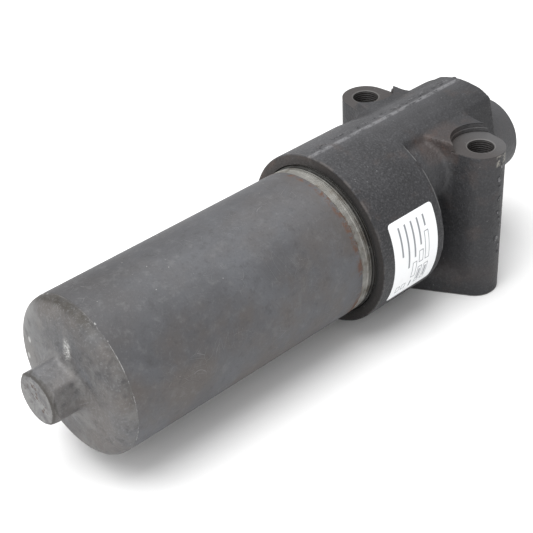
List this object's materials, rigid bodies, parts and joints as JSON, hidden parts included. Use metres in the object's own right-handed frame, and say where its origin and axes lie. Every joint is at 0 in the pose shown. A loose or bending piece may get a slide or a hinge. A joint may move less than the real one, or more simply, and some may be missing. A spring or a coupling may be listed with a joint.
{
  "type": "high-pressure hydraulic filter",
  "caption": "Flange-mounted high-pressure hydraulic filter with a cast head and a long screw-in steel bowl that ends in a hexagon.",
  "frame": {"origin": "middle of the line between the two bolt holes, on the mounting face", "axes": "+Z square out of the mounting face through the filter, X along the filter's axis with the bowl towards -X, Y along the line of the two bolt holes"},
  "size_m": [0.3903, 0.132, 0.118],
  "materials": {
    "cast_head": "rough dark cast",
    "bowl_steel": "phosphated, satin",
    "turned_steel": "turned",
    "cap_steel": "tin plated",
    "spring_steel": "oiled",
    "plug_steel": "blackened",
    "rubber": "matte",
    "ring_plastic": "matte",
    "filter_media": "pleated fibre"
  },
  "bodies": {
    "head": {"filter_head": "cast_head", "element_spigot": "turned_steel", "spigot_o_ring": "rubber", "bypass_valve_body": "turned_steel", "bypass_spring": "spring_steel", "bypass_spring_washer": "turned_steel", "bypass_retaining_ring": "spring_steel", "port_plug": "plug_steel", "port_plug_seal": "rubber", "inlet_o_ring": "rubber", "outlet_o_ring": "rubber"},
    "element": {"element_open_cap": "cap_steel", "element_closed_cap": "cap_steel", "element_o_ring": "rubber", "pleated_media": "filter_media", "support_tube": "cap_steel"},
    "bowl": {"bowl": "bowl_steel", "bowl_o_ring": "rubber", "bowl_backup_ring": "ring_plastic"},
    "poppet": {"bypass_poppet": "turned_steel"}
  },
  "joints": [
    {"name": "element_travel", "type": "slide", "parent": "head", "child": "element", "axis": [-1, 0, 0], "range_m": [0, 0.02401]},
    {"name": "bowl_turn", "type": "hinge", "parent": "element", "child": "bowl", "pos_m": [0, 0, 0.06], "axis": [-1, 0, 0], "range_deg": [0, 4320]},
    {"name": "poppet_lift", "type": "slide", "parent": "head", "child": "poppet", "axis": [1, 0, 0], "range_m": [0, 0.004], "stiffness_N_per_m": 1500, "springref_m": -0.004, "deforming": ["bypass_spring"]}
  ],
  "couplings": [
    {"joint": "element_travel", "follows": "bowl_turn", "m_per_rad": 0.00031831}
  ]
}
